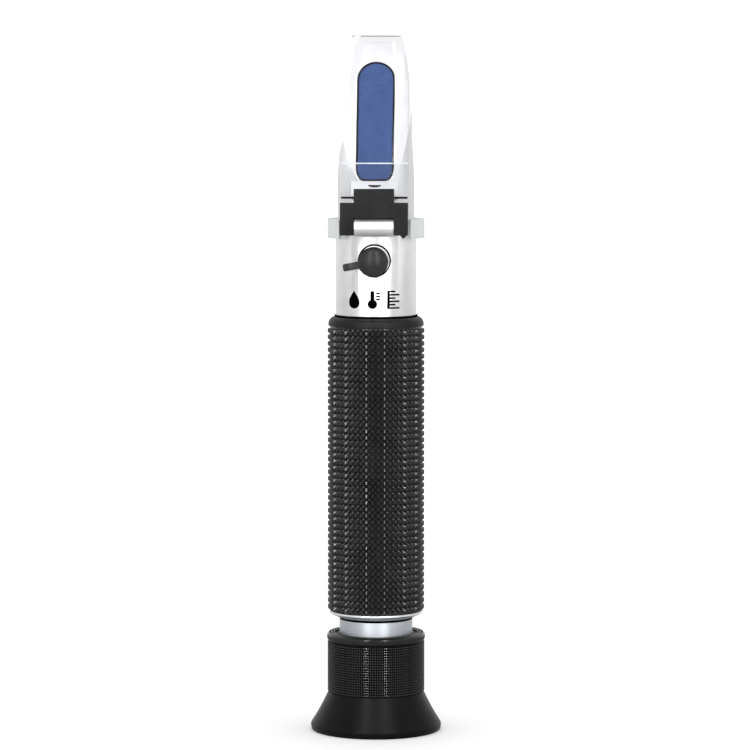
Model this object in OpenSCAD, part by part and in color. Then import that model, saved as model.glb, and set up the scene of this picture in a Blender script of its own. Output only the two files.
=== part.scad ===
// Handheld refractometer, standing on its eyecup with its prism end upwards.
// Millimetres. +Z runs along the tube; the prism's face, the cover and the calibration cap face -Y.
// The origin is the centre of the eyecup's rim, on the surface that it rests on.

/* [Eyecup] */
// Widest diameter of the rubber rim
cup_rim_d = 37.9; // [36.5:0.1:39]
// Height of the flared part
cup_flare_h = 11; // [10.6:0.1:12]
// Thickness of the flared wall
cup_wall = 1.7; // [1.5:0.1:2]
// Outer diameter of the knurled sleeve
cup_sleeve_d = 28.2; // [27.8:0.1:29]
// Height of the knurled sleeve
cup_sleeve_h = 15.3; // [15:0.1:15.6]

/* [Eyepiece] */
// Diameter of the smooth bead at the top of the eyepiece ring
bead_d = 28.5; // [28.2:0.1:29.4]
// Height of the bead
bead_h = 2.2; // [1.8:0.1:2.4]
// Diameter of the bare metal barrel
barrel_d = 21.2; // [21:0.1:21.6]
// Height of barrel that shows above the bead
barrel_show = 4.7; // [4.2:0.1:5.4]
// Axial travel of the focusing ring over one turn
focus_travel = 3; // [2.6:0.1:3]

/* [Grip] */
// Diameter of the grip over its bumps
grip_d = 28; // [27.4:0.1:29]
// Height of the grip
grip_h = 86.1; // [80:0.1:90]
// Radius of the grip's upper shoulder
grip_shoulder_r = 2.2; // [1.5:0.1:2.2]
// Diameter of the end ring below the grip
end_ring_d = 27; // [26:0.1:27.8]
// Height of the end ring
end_ring_h = 1.7; // [1.4:0.1:2.2]

/* [Tube] */
// Outside diameter of the tube and of the head's neck
tube_d = 23.3; // [23:0.1:23.8]
// Bore of the main tube
tube_bore_d = 19.2; // [19:0.1:19.4]
// Height of neck that shows above the grip
neck_h = 22.2; // [21.5:0.1:24]

/* [Prism head] */
// Diameter of the collar ring
collar_d = 27.8; // [27.6:0.1:28.4]
// Height of the collar ring
collar_h = 5.5; // [5.3:0.1:5.8]
// Diameter of the nose at its foot
nose_d = 22.1; // [22:0.1:22.4]
// Diameter of the nose near its tip
nose_tip_d = 20.7; // [20.2:0.1:21.2]
// Height of the nose above the collar
nose_h = 50.3; // [50:0.1:51.2]
// Angle between the prism's face and the tube's axis
face_tilt = 22.6; // [22.2:0.1:23]
// Height above the collar at which the face crosses the tube's axis
face_axis_h = 35.3; // [35:0.1:35.6]
// Width of the oblong window
window_w = 10.8; // [10.7:0.1:11.3]
// Length of the oblong window along the face
window_l = 36.5; // [35:0.1:37]

/* [Cover] */
// Width of the clear plate
plate_w = 20; // [19.8:0.1:20.6]
// Thickness of the clear plate over the prism
plate_t = 3.2; // [3:0.1:3.4]
// Width of the hinge bracket
bracket_w = 19.3; // [19.2:0.1:19.8]
// Width of the bracket's tongue
tongue_w = 11.4; // [11:0.1:12]
// Width of the hinge lug between the bracket's legs
lug_w = 11.2; // [11:0.1:11.3]
// Diameter of the hinge pin
pin_d = 1.6; // [1.4:0.1:1.8]

/* [Calibration] */
// Height of the calibration screw below the collar
cal_drop = 6.1; // [6:0.1:6.6]
// Diameter of the rubber cap
cap_d = 8.6; // [8.4:0.1:8.8]
// Diameter of the bush under the cap
bush_d = 9.5; // [9.3:0.1:9.7]
// Diameter of the calibration screw's head
screw_head_d = 4; // [3.6:0.1:4.2]

/* [Hidden] */
$fn = 96;

// Colours
silver = [0.80, 0.81, 0.82];
black_rubber = [0.08, 0.08, 0.09];
black_plastic = [0.10, 0.10, 0.11];
clear = [0.93, 0.96, 0.97, 0.35];
lens_glass = [0.85, 0.92, 0.95, 0.5];
brass = [0.78, 0.64, 0.35];

// Extra length of a cutting shape, and the radial clearance of a running fit
cut = 1;
run = 0.05;

// Heights of the parts' ends above the resting surface
z_sleeve = cup_flare_h;
z_bead = z_sleeve + cup_sleeve_h;
z_bead_top = z_bead + bead_h;
z_end_ring = z_bead_top + barrel_show;
z_grip = z_end_ring + end_ring_h;
z_neck = z_grip + grip_h;
z_collar = z_neck + neck_h;
z_nose = z_collar + collar_h;
z_nose_tip = z_nose + nose_h;
z_face = z_nose + face_axis_h;
z_cal = z_collar - cal_drop;

// Tube and head
tube_r = tube_d / 2;
sleeve_gap = 0.02;
bore_r = tube_bore_d / 2;
spigot_r = bore_r - 0.02;
head_bore_r = bore_r - 0.7;
z_tube_top = z_neck - 1.8;
z_spigot = z_tube_top - 14.5;
z_head_bore_top = z_nose + 7.4;
z_taper = z_nose + 12;
z_taper_top = z_nose + 24;
pad_w = 13.2;
pad_y = -nose_d / 2 - 0.1;
screw_z = z_tube_top - 7.5;
screw_r = 1;

// Prism and its window, measured along the face from the tube's axis
window_high = 10.2;
window_low = window_high - window_l;
window_corner_r = 2;
lip_t = 1.6;
gasket_t = 0.3;
prism_w = 10.4;
prism_front = -7;
prism_back = 5;
pad_t = 0.5;
seat_gap = 0.1;

// Hinge
pin_y = -14.3;
pin_z = z_collar + 3.5;
pin_r = pin_d / 2;
lug_r = 2.6;
leg_gap = 0.15;
bracket_front = -16.3;
bracket_back = -11.5;
leg_back = -12.1;
leg_bottom = pin_z - 2.2;
bar_bottom = pin_z + 2.9;
bar_top = bar_bottom + 4.1;
tongue_top = bar_top + 4;

// Cover plate
film_gap = 0.15;
plate_tip = 201.3;
plate_tip_w = 14.4;
plate_tail = bar_top + 1.7;
kink_z = z_nose + 16.2;
tail_outer = -13;
tail_inner = -11.5;
tab_w = 9.6;
tab_bottom = bar_bottom + 1.4;
plate_outer = (film_gap + plate_t) / cos(face_tilt);
kink_y = face_y(kink_z) - plate_outer;
tail_turn_z = z_face + (tail_inner + film_gap / cos(face_tilt)) / tan(face_tilt);

// Calibration
bush_face = -tube_r - 0.5;
bush_inner = -head_bore_r - 0.05;
plug_r = 2.55;
plug_depth = 1.5;
head_seat = bush_inner - 0.55;
head_t = 1;
shank_r = 1;
shank_end = -6.2;
cap_gap = 0.05;
cap_side = 1;
cap_dome = 1.8;
cap_shift = 0.35;
tail_droop = 11;

// Lens carriage
carriage_r = head_bore_r - 0.7;
carriage_hole_r = 5.8;
z_carriage = z_cal - 2.9;
z_carriage_top = z_cal + 2.9;
mount_r = 7.3;
mount_hole_r = 6.2;
z_mount = z_cal - 10.5;
z_mount_top = z_mount + 5.4;
z_doublet = z_mount + 1.2;
strip_y = 6.6;
strip_t = 0.5;
strip_w = 5.2;
guide_t = 1.6;
guide_gap = 0.3;
rail_x = 7.2;
rail_w = 0.8;
rail_l = 6;

// Reticle and baffles
z_reticle = z_grip + 15.3;
reticle_r = 8;

// Eyepiece
barrel_r = barrel_d / 2;
barrel_bore_r = 8.6;
z_barrel = z_sleeve + 9;
z_barrel_top = z_grip + 13;
cell_r = barrel_bore_r - run;
cell_bore_r = 7.4;
cell_flange_r = 10.3;
z_cell = z_sleeve + 2.4;
z_cell_top = z_cell + 22;
ring_r = 12.9;
z_ring = z_sleeve + 1.2;
key_z = z_sleeve + 15;
key_r = 0.7;
lens_r = 20.3;

// Face of the prism at height z
function face_y(z) = (z - z_face) * tan(face_tilt);
// Points of an arc from angle a to angle b
function arc(x, y, r, a, b, n = 8) =
    [for (i = [0:n]) [x + r * cos(a + (b - a) * i / n), y + r * sin(a + (b - a) * i / n)]];

// Height of a lens surface of radius r above its middle, at x from the axis.
// It curves up where r is positive.
function sag(r, x) = r == 0 ? 0 : sign(r) * (abs(r) - sqrt(r * r - x * x));

// A lens between two surfaces, each given by the height of its middle and its radius
module lens(edge, low, low_r, high, high_r) {
    steps = 12;
    rotate_extrude() polygon(concat(
        [for (i = [0:steps]) [edge * i / steps, low + sag(low_r, edge * i / steps)]],
        [for (i = [steps:-1:0]) [edge * i / steps, high + sag(high_r, edge * i / steps)]]
    ));
}

// A plain ring between two heights
module ring(outer, inner, low, high) {
    difference() {
        translate([0, 0, low]) cylinder(r = outer, h = high - low);
        translate([0, 0, low - cut]) cylinder(r = inner, h = high - low + 2 * cut);
    }
}

// A cylinder along Y at the calibration screw's height
module rod_y(r, from, to) {
    translate([0, to, z_cal]) rotate([90, 0, 0]) cylinder(r = r, h = to - from);
}

// A cylinder along X, centred
module rod_x(r, length) {
    rotate([0, 90, 0]) cylinder(r = r, h = length, center = true);
}

// Extrudes an outline drawn in Y and Z along X
module along_x(width) {
    rotate([90, 0, 90]) linear_extrude(width, center = true) children();
}

// Places a child on the prism's face: its X stays, its Y runs up the face and its Z points out
module on_face() {
    translate([0, 0, z_face]) rotate([90 - face_tilt, 0, 0]) children();
}

// Oblong window with a round upper end and two rounded lower corners
module window_shape(grow) {
    half = window_w / 2 + grow;
    r = window_corner_r + grow;
    low = window_low - grow;
    high = window_high + grow;
    translate([0, high - half]) circle(r = half);
    translate([-half, low + r]) square([2 * half, high - half - low - r]);
    translate([r - half, low]) square([2 * (half - r), r + cut]);
    for (side = [-1, 1]) translate([side * (half - r), low + r]) circle(r = r);
}

// Side outline of the prism's wedge, grown by a gap
module wedge_side(gap) {
    top_shift = (lip_t - gap) / cos(face_tilt);
    front = prism_front - gap;
    back = prism_back + gap;
    polygon([
        [front, z_head_bore_top - gap],
        [back, z_head_bore_top - gap],
        [back, z_face + (back - top_shift) / tan(face_tilt)],
        [front, z_face + (front - top_shift) / tan(face_tilt)]
    ]);
}

module main_tube() {
    color(silver) difference() {
        ring(tube_r, bore_r, z_grip, z_tube_top);
        head_screw_places() cylinder(r = screw_r, h = tube_r + cut);
    }
}

module grip_sleeve() {
    inner = tube_r + sleeve_gap;
    r = grip_d / 2 - grip_shoulder_r;
    shoulder_z = z_neck - grip_shoulder_r;
    color(black_rubber) rotate_extrude() {
        translate([inner, z_grip]) square([grip_d / 2 - inner, shoulder_z - z_grip]);
        translate([inner, shoulder_z - cut]) square([r - inner, grip_shoulder_r + cut]);
        intersection() {
            translate([r, shoulder_z]) circle(r = grip_shoulder_r);
            translate([r - sleeve_gap, shoulder_z - sleeve_gap]) square(grip_shoulder_r + cut);
        }
    }
}

module end_ring() {
    color(silver) rotate_extrude() polygon([
        [barrel_r + 0.05, z_end_ring],
        [tube_r, z_end_ring],
        [end_ring_d / 2, z_grip - 0.5],
        [end_ring_d / 2, z_grip],
        [barrel_r + 0.05, z_grip]
    ]);
}

// Grey ring that snaps round the head, open at the front for the hinge
module collar_ring() {
    color([0.80, 0.82, 0.81]) difference() {
        ring(collar_d / 2, tube_r, z_collar, z_nose);
        translate([-bracket_w / 2 - 0.6, -collar_d, z_collar - cut])
            cube([bracket_w + 1.2, collar_d - 8.4, collar_h + 2 * cut]);
    }
}

// Three radial places for the screws that hold the head in the tube
module head_screw_places() {
    for (turn = [30, 150, 270]) translate([0, 0, screw_z]) rotate([0, 90, turn]) children();
}

module head_blank() {
    translate([0, 0, z_spigot]) cylinder(r = spigot_r, h = z_tube_top - z_spigot + cut);
    translate([0, 0, z_tube_top]) cylinder(r = tube_r, h = z_nose - z_tube_top);
    translate([0, 0, z_nose - cut]) cylinder(r = nose_d / 2, h = z_taper - z_nose + cut);
    translate([0, 0, z_taper]) cylinder(r1 = nose_d / 2, r2 = nose_tip_d / 2, h = z_taper_top - z_taper);
    translate([0, 0, z_taper_top]) cylinder(r = nose_tip_d / 2, h = z_nose_tip - z_taper_top);
    translate([-pad_w / 2, pad_y, z_nose - cut]) cube([pad_w, -pad_y / 2, z_taper - z_nose]);
    hinge_lug();
}

// Barrel-fronted lug that carries the hinge pin
module hinge_lug() {
    translate([0, pin_y, pin_z]) rod_x(lug_r, lug_w);
    translate([-lug_w / 2, pin_y, pin_z - lug_r]) cube([lug_w, -pin_y - tube_r + 3, 2 * lug_r]);
}

module prism_head() {
    color(silver) difference() {
        head_blank();
        translate([0, 0, z_spigot - cut])
            cylinder(r = head_bore_r, h = z_head_bore_top - z_spigot + cut);
        on_face() translate([-tube_d / 2, window_low - 4.2, 0]) cube([tube_d, 60, 30]);
        on_face() translate([0, 0, -lip_t - cut]) linear_extrude(lip_t + 2 * cut) window_shape(0);
        along_x(prism_w + 2 * seat_gap) wedge_side(seat_gap);
        translate([-prism_w / 2, prism_back, z_head_bore_top - cut])
            cube([prism_w, pad_t + seat_gap, 34]);
        translate([0, pin_y, pin_z]) rod_x(pin_r, lug_w + 2 * cut);
        rod_y(bush_d / 2, -collar_d, -head_bore_r / 2);
        head_screw_places() cylinder(r = screw_r, h = tube_r + cut);
    }
}

module head_screws() {
    color(silver) head_screw_places() difference() {
        translate([0, 0, head_bore_r + 0.1]) cylinder(r = screw_r, h = tube_r - head_bore_r - 0.2);
        translate([-screw_r, -0.15, tube_r - 0.6]) cube([2 * screw_r, 0.3, 1]);
    }
}

module prism() {
    color([0.20, 0.27, 0.52]) union() {
        along_x(prism_w) wedge_side(0);
        on_face() translate([0, 0, -lip_t - 0.2]) linear_extrude(lip_t + 0.2) window_shape(-gasket_t);
    }
}

module prism_gasket() {
    color(black_plastic) on_face() translate([0, 0, -lip_t]) linear_extrude(lip_t - 0.1) difference() {
        window_shape(0);
        window_shape(-gasket_t);
    }
}

module prism_clamp() {
    color(silver) ring(head_bore_r, 5.5, z_head_bore_top - 3, z_head_bore_top - seat_gap);
}

module prism_pad() {
    color(black_plastic) translate([-prism_w / 2 + 0.3, prism_back + seat_gap, z_head_bore_top + 1])
        cube([prism_w - 0.6, pad_t - 0.1, 31]);
}

module hinge_pin() {
    color(silver) translate([0, pin_y, pin_z]) rod_x(pin_r, bracket_w - 0.8);
}

module hinge_bracket() {
    leg_w = (bracket_w - lug_w) / 2 - leg_gap;
    color(black_plastic) difference() {
        union() {
            translate([-bracket_w / 2, bracket_front, bar_bottom])
                cube([bracket_w, bracket_back - bracket_front, bar_top - bar_bottom]);
            along_x(tongue_w) polygon([
                [bracket_front, bar_top - cut],
                [tail_outer, bar_top - cut],
                [tail_outer, plate_tail],
                [tail_line(tongue_top), tongue_top],
                [bracket_front, tongue_top]
            ]);
            for (side = [-1, 1]) translate([side * (bracket_w - leg_w) / 2, 0, 0])
                translate([-leg_w / 2, bracket_front, leg_bottom])
                    cube([leg_w, leg_back - bracket_front, bar_bottom - leg_bottom + cut]);
            stop_nib();
        }
        translate([0, pin_y, pin_z]) rod_x(pin_r + run, bracket_w + 2 * cut);
        translate([-tab_w / 2, tail_outer, tab_bottom])
            cube([tab_w, tail_inner - tail_outer, bar_top - tab_bottom + cut]);
        plate_pin_places();
    }
}

// Small moulded nib under the right leg
module stop_nib() {
    translate([bracket_w / 2 - 1.5, 0, leg_bottom]) rotate([90, 0, 0])
        translate([0, 0, -bracket_front - 1])
        linear_extrude(1) polygon([[-0.8, 0.2], [0.2, -0.9], [0.9, -0.4], [1.2, 0.2]]);
}

// Outer surface of the plate's tail at height z
function tail_line(z) = tail_outer + (kink_y - tail_outer) * (z - plate_tail) / (kink_z - plate_tail);

module plate_side() {
    polygon([
        [tail_inner, plate_tail],
        [tail_outer, plate_tail],
        [kink_y, kink_z],
        [face_y(plate_tip) - plate_outer, plate_tip],
        [face_y(plate_tip) - film_gap / cos(face_tilt), plate_tip],
        [tail_inner, tail_turn_z]
    ]);
}

// Outline of the plate on the face: straight sides that curve in towards the tip
module plate_outline() {
    tip_s = (plate_tip - z_face) / cos(face_tilt);
    drop = (plate_w - plate_tip_w) / 2 + 0.1;
    r = (tip_s * tip_s + drop * drop) / (2 * drop);
    translate([-plate_w / 2, -45]) square([plate_w, 46]);
    intersection() {
        translate([-plate_w / 2, 0]) square([plate_w, tip_s + 5]);
        translate([r - plate_w / 2 - 0.1, 0]) circle(r = r, $fn = 360);
        translate([plate_w / 2 + 0.1 - r, 0]) circle(r = r, $fn = 360);
    }
}

module daylight_plate() {
    color(clear) difference() {
        union() {
            intersection() {
                along_x(plate_w + 2 * cut) plate_side();
                on_face() translate([0, 0, -10]) linear_extrude(30) plate_outline();
            }
            translate([-tab_w / 2, tail_outer, tab_bottom])
                cube([tab_w, tail_inner - tail_outer, plate_tail - tab_bottom + 0.4]);
        }
        plate_pin_places();
    }
}

// Two pins that lock the plate's tab in the bracket
module plate_pin_places() {
    for (side = [-1, 1]) translate([side * 3, bracket_back, tab_bottom + 1.2])
        rotate([90, 0, 0]) cylinder(r = 0.5, h = 3.4);
}

module plate_pins() {
    color(silver) plate_pin_places();
}

module calibration_bush() {
    color(silver) difference() {
        rod_y(bush_d / 2, bush_face, bush_inner);
        rod_y(plug_r + run, bush_face - cut, head_seat - head_t);
        rod_y(screw_head_d / 2 + run, bush_face - cut, head_seat);
        rod_y(shank_r + run, bush_face - cut, bush_inner + cut);
    }
}

module calibration_screw() {
    slot_w = 0.6;
    slot_depth = 0.5;
    color(brass) difference() {
        union() {
            rod_y(screw_head_d / 2, head_seat - head_t, head_seat);
            rod_y(shank_r, head_seat - head_t / 2, shank_end);
        }
        translate([-screw_head_d, head_seat - head_t - cut, z_cal - slot_w / 2])
            cube([2 * screw_head_d, cut + slot_depth, slot_w]);
    }
}

// Domed rubber cap with a plug behind it and a pull tail at its left
module calibration_cap() {
    base = bush_face - cap_gap;
    side = base - cap_side;
    dome_r = (cap_d * cap_d / 4 + cap_dome * cap_dome) / (2 * cap_dome);
    color(black_rubber) union() {
        rod_y(plug_r, base - cut / 2, base + plug_depth);
        translate([-cap_shift, 0, -cap_shift]) {
            rod_y(cap_d / 2, side, base);
            intersection() {
                rod_y(cap_d / 2, side - cap_dome - cut, side + cut / 2);
                translate([0, side - cap_dome + dome_r, z_cal]) sphere(r = dome_r);
            }
            translate([0, base - 1.5, z_cal]) rotate([0, -tail_droop, 0])
                translate([-8.7, 0, -1.05]) cube([6, 1.3, 2.1]);
        }
    }
}

// Upper carriage ring, whose front wall is the calibration screw's nut
module lens_carriage() {
    color(silver) difference() {
        ring(carriage_r, carriage_hole_r, z_carriage, z_carriage_top);
        rod_y(shank_r + run, -carriage_r - cut, 0);
        strip_slot();
        for (side = [-1, 1])
            translate([side * rail_x - rail_w / 2 - 0.1, -carriage_r, z_carriage_top - 1])
            cube([rail_w + 0.2, 2 * carriage_r, 1 + cut]);
    }
}

module strip_slot() {
    translate([-strip_w / 2, strip_y, z_mount + 0.8])
        cube([strip_w, strip_t, z_carriage_top - 2 - z_mount]);
}

module bimetal_strip() {
    color(brass) strip_slot();
}

module lens_mount() {
    color(black_plastic) difference() {
        ring(mount_r, mount_hole_r - 0.7, z_mount, z_mount_top);
        translate([0, 0, z_doublet]) cylinder(r = mount_hole_r, h = z_mount_top);
        strip_slot();
    }
}

module objective_crown() {
    low = z_doublet + 1.1;
    color(lens_glass) lens(mount_hole_r, low, 40, low + 2.2, -45);
}

module objective_flint() {
    color(lens_glass) lens(mount_hole_r, z_doublet, 0, z_doublet + 1.1, 40);
}

module objective_ring() {
    color(silver) ring(mount_hole_r, 5.4, z_doublet + 3.05, z_mount_top);
}

// Fixed ring above the carriage, with two rails that keep it square
module guide_ring_upper() {
    low = z_carriage_top + guide_gap;
    color(silver) union() {
        ring(head_bore_r, 6.6, low, low + guide_t);
        for (side = [-1, 1]) translate([side * rail_x - rail_w / 2, -rail_l / 2, low - 1])
            cube([rail_w, rail_l, 1.5]);
    }
}

module guide_ring_lower() {
    color(silver) ring(head_bore_r, 6.4, z_mount - guide_gap - guide_t, z_mount - guide_gap);
}

module baffle(z) {
    ring(bore_r, 6.4, z, z + 1.2);
}

module baffle_upper() {
    color(black_plastic) baffle(z_reticle + 45);
}

module baffle_lower() {
    color(black_plastic) baffle(z_reticle + 25);
}

module reticle_holder() {
    color(black_plastic) difference() {
        ring(bore_r, reticle_r - 1.2, z_reticle, z_reticle + 7);
        translate([0, 0, z_reticle + 4.2]) cylinder(r = reticle_r, h = 4);
    }
}

module reticle() {
    color(lens_glass) translate([0, 0, z_reticle + 4.2]) cylinder(r = reticle_r, h = 1.2);
}

module reticle_ring() {
    color(silver) ring(reticle_r, reticle_r - 1.2, z_reticle + 5.4, z_reticle + 7);
}

module eyepiece_barrel() {
    color(silver) difference() {
        union() {
            ring(barrel_r, barrel_bore_r, z_barrel, z_grip);
            ring(bore_r - 0.02, barrel_bore_r, z_grip - 0.5, z_barrel_top);
        }
        key_pin(barrel_r - 0.2);
    }
}

// Radial pin at the back that stops the lens cell from turning
module key_pin(outer) {
    inner = barrel_bore_r - 0.7;
    translate([0, inner, key_z]) rotate([-90, 0, 0]) cylinder(r = key_r, h = outer - inner);
}

module focus_key_pin() {
    color(silver) key_pin(barrel_r - 0.2);
}

module lens_cell() {
    color(black_plastic) difference() {
        union() {
            ring(cell_flange_r, cell_bore_r - 1, z_cell, z_cell + 1.4);
            ring(cell_r, cell_bore_r - 1, z_cell + 0.7, z_cell_top);
        }
        translate([0, 0, z_cell + 1.5]) cylinder(r = cell_bore_r, h = z_cell_top);
        translate([-key_r - 0.1, 0, key_z - focus_travel - key_r - 0.1])
            cube([2 * key_r + 0.2, barrel_r, focus_travel + 2 * key_r + 0.4]);
    }
}

// Flat below, domed above
module eye_lens() {
    low = z_cell + 1.5;
    color(lens_glass) lens(cell_bore_r, low, 0, low + 4, -lens_r);
}

module lens_spacer() {
    color(silver) ring(cell_bore_r, cell_bore_r - 1, z_cell + 4.5, z_cell + 13.2);
}

// Domed below, flat above
module field_lens() {
    high = z_cell + 15.2;
    color(lens_glass) lens(cell_bore_r, high - 3, lens_r, high, 0);
}

module lens_ring() {
    color(silver) ring(cell_bore_r, cell_bore_r - 1.2, z_cell + 15.2, z_cell + 17);
}

// Black ring that turns on the barrel; its top face carries concentric grooves
module eyepiece_ring() {
    color(black_plastic) difference() {
        union() {
            ring(ring_r, barrel_r + run, z_ring, z_bead + 0.2);
            rotate_extrude() {
                translate([barrel_r + run, z_bead]) square([bead_d / 2 - barrel_r - run - 0.5, bead_h]);
                translate([bead_d / 2 - 1.5, z_bead + 0.5]) square([1.5, bead_h - 1]);
                translate([bead_d / 2 - 0.5, z_bead + 0.5]) circle(r = 0.5);
                translate([bead_d / 2 - 0.5, z_bead_top - 0.5]) circle(r = 0.5);
            }
            ring(ring_r, 9.3, z_ring, z_ring + 1);
        }
        ring(barrel_r + 1.5, 0.1, z_bead_top - 1.2, z_bead_top + cut);
        for (r = [12.75, 13.35]) ring(r + 0.15, r - 0.15, z_bead_top - 0.25, z_bead_top + cut);
    }
}

module cell_ring() {
    color(black_plastic) ring(barrel_r + run, cell_r + 0.25, z_cell + 1.6, z_cell + 2.8);
}

module seal_ring() {
    color(black_rubber) rotate_extrude() difference() {
        translate([barrel_r + run, z_bead_top - 1.2]) square([1.5 - run, 1]);
        translate([barrel_r + 0.8, z_bead_top - 0.2]) circle(r = 0.3);
    }
}

// Flared rubber cup with a sleeve that grips the eyepiece ring
module eyecup() {
    rim_r = 1.2;
    rim_x = cup_rim_d / 2 - rim_r;
    sleeve_r = cup_sleeve_d / 2;
    throat_r = 9.3;
    outer = concat(
        [[ring_r, z_bead], [sleeve_r - 0.3, z_bead], [sleeve_r, z_bead - 0.3]],
        [[sleeve_r, z_sleeve + 0.5]],
        [[sleeve_r - 0.35, z_sleeve + 0.15], [sleeve_r - 0.1, z_sleeve - 0.35]],
        [[sleeve_r + 1.1, z_sleeve - 2.6], [sleeve_r + 2.5, z_sleeve - 5.2]],
        arc(rim_x, rim_r, rim_r, 28, -90, 7)
    );
    inner = [
        [rim_x - 0.6, 0],
        [rim_x - 1.1, 0.4],
        [rim_x - cup_wall - 0.4, 2.4],
        [sleeve_r + 1.1 - cup_wall - 0.6, z_sleeve - 3.4],
        [throat_r + 1.2, z_sleeve - 0.6],
        [throat_r, z_sleeve - 0.2],
        [throat_r, z_ring],
        [ring_r, z_ring]
    ];
    color(black_rubber) rotate_extrude() polygon(concat(outer, inner));
}

main_tube();
grip_sleeve();
end_ring();
collar_ring();
prism_head();
head_screws();
prism();
prism_gasket();
prism_clamp();
prism_pad();
hinge_pin();
hinge_bracket();
daylight_plate();
plate_pins();
calibration_bush();
calibration_screw();
calibration_cap();
lens_carriage();
bimetal_strip();
lens_mount();
objective_crown();
objective_flint();
objective_ring();
guide_ring_upper();
guide_ring_lower();
baffle_upper();
baffle_lower();
reticle_holder();
reticle();
reticle_ring();
eyepiece_barrel();
focus_key_pin();
lens_cell();
eye_lens();
lens_spacer();
field_lens();
lens_ring();
eyepiece_ring();
cell_ring();
seal_ring();
eyecup();
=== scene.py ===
import math

import bmesh
import bpy
from mathutils import Matrix, Vector


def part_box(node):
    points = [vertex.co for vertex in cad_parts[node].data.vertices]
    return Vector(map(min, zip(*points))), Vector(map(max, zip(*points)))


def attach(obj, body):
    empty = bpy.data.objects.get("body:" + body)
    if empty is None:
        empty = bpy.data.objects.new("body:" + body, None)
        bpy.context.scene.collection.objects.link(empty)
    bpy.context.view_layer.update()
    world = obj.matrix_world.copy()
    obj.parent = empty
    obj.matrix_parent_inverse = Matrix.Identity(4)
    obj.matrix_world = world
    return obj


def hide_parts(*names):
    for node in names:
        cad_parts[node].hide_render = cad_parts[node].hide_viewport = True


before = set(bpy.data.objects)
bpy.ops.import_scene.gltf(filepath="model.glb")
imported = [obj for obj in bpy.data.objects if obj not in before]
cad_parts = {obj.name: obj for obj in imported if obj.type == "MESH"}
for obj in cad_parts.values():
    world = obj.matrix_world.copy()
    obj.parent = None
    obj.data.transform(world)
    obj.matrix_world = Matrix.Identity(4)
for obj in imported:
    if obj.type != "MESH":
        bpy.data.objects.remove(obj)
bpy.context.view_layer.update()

MM = 0.001


# ---------------------------------------------------------------- sizes, in millimetres, from the frame

def node_box(name):
    """Lowest and highest corner of a CAD node, in millimetres."""
    low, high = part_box(name)
    return [c / MM for c in low], [c / MM for c in high]


CUP_HIGH = node_box("eyecup")[1]
GRIP_LOW, GRIP_HIGH = node_box("grip_sleeve")
HEAD_LOW, HEAD_HIGH = node_box("prism_head")
TUBE_HIGH = node_box("main_tube")[1]
COLLAR_LOW, COLLAR_HIGH = node_box("collar_ring")
PLATE_LOW, PLATE_HIGH = node_box("daylight_plate")
BRACKET_LOW, BRACKET_HIGH = node_box("hinge_bracket")
PIN_LOW, PIN_HIGH = node_box("hinge_pin")
RING_LOW, RING_HIGH = node_box("eyepiece_ring")
BARREL_LOW, BARREL_HIGH = node_box("eyepiece_barrel")
END_LOW, END_HIGH = node_box("end_ring")
BUSH_LOW, BUSH_HIGH = node_box("calibration_bush")
CAP_HIGH = node_box("calibration_cap")[1]
SCREW_LOW, SCREW_HIGH = node_box("calibration_screw")

TUBE_R = TUBE_HIGH[0]
NOSE_Z = COLLAR_HIGH[2]
NOSE_TIP_Z = HEAD_HIGH[2]
PIN_Y = (PIN_LOW[1] + PIN_HIGH[1]) / 2
PIN_Z = (PIN_LOW[2] + PIN_HIGH[2]) / 2
CAL_Z = (SCREW_LOW[2] + SCREW_HIGH[2]) / 2

# slant of the prism's face, and the height at which it crosses the axis
FACE_TILT = math.radians(22.6)
FACE_Z = NOSE_Z + 35.3
# head
HEAD_BORE_R = 8.9
HEAD_BORE_TOP = NOSE_Z + 7.4
NOSE_R = 11.05
NOSE_TIP_R = 10.35
SPIGOT_R = 9.58
LUG_R = 2.6
LUG_W = 11.2
# window, measured along the face from the axis
WINDOW_W = 10.8
WINDOW_TOP = 10.2
WINDOW_LOW = -26.3
LIP_T = 1.6
GASKET_T = 0.55
WEDGE_W = 10.4
WEDGE_GAP = 0.1
# cover plate
PLATE_T = 3.2
FILM_GAP = 0.15
TAIL_INNER = -11.5
TAIL_OUTER = -13.0
TAB_HALF = 4.8
# eyepiece end
THROAT_R = 9.3
CUP_SEAT_R = 12.9
CELL_BORE_R = 8.6
# the cap sits a little off the bush's axis, towards -X and down
CAP_SHIFT = 0.35
CAP_R = CAP_HIGH[0] + CAP_SHIFT
CAP_BASE_Y = CAP_HIGH[1] - 1.5
SCREW_HOLE_R = 1.05
# half of the mark's stroke width
MARK_STROKE = 0.24


# ---------------------------------------------------------------- mesh helpers

def make(name, verts, faces, material, angle=35.0):
    """A mesh object from points in millimetres, smooth but for edges sharper than angle."""
    mesh = bpy.data.meshes.new(name)
    mesh.from_pydata([tuple(c * MM for c in v) for v in verts], [], faces)
    obj = bpy.data.objects.new(name, mesh)
    bpy.context.scene.collection.objects.link(obj)
    if material:
        mesh.materials.append(material)
    tidy(obj, angle)
    return obj


def tidy(obj, angle=35.0):
    """Merges doubled points, turns normals outward and marks the sharp edges."""
    bm = bmesh.new()
    bm.from_mesh(obj.data)
    bmesh.ops.remove_doubles(bm, verts=bm.verts, dist=2e-7)
    bmesh.ops.recalc_face_normals(bm, faces=bm.faces)
    bm.to_mesh(obj.data)
    bm.free()
    obj.data.shade_smooth()
    obj.data.set_sharp_from_angle(angle=math.radians(angle))


def bake_modifiers(obj):
    """Applies all of an object's modifiers to its mesh."""
    graph = bpy.context.evaluated_depsgraph_get()
    mesh = bpy.data.meshes.new_from_object(obj.evaluated_get(graph))
    obj.modifiers.clear()
    obj.data = mesh


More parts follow.
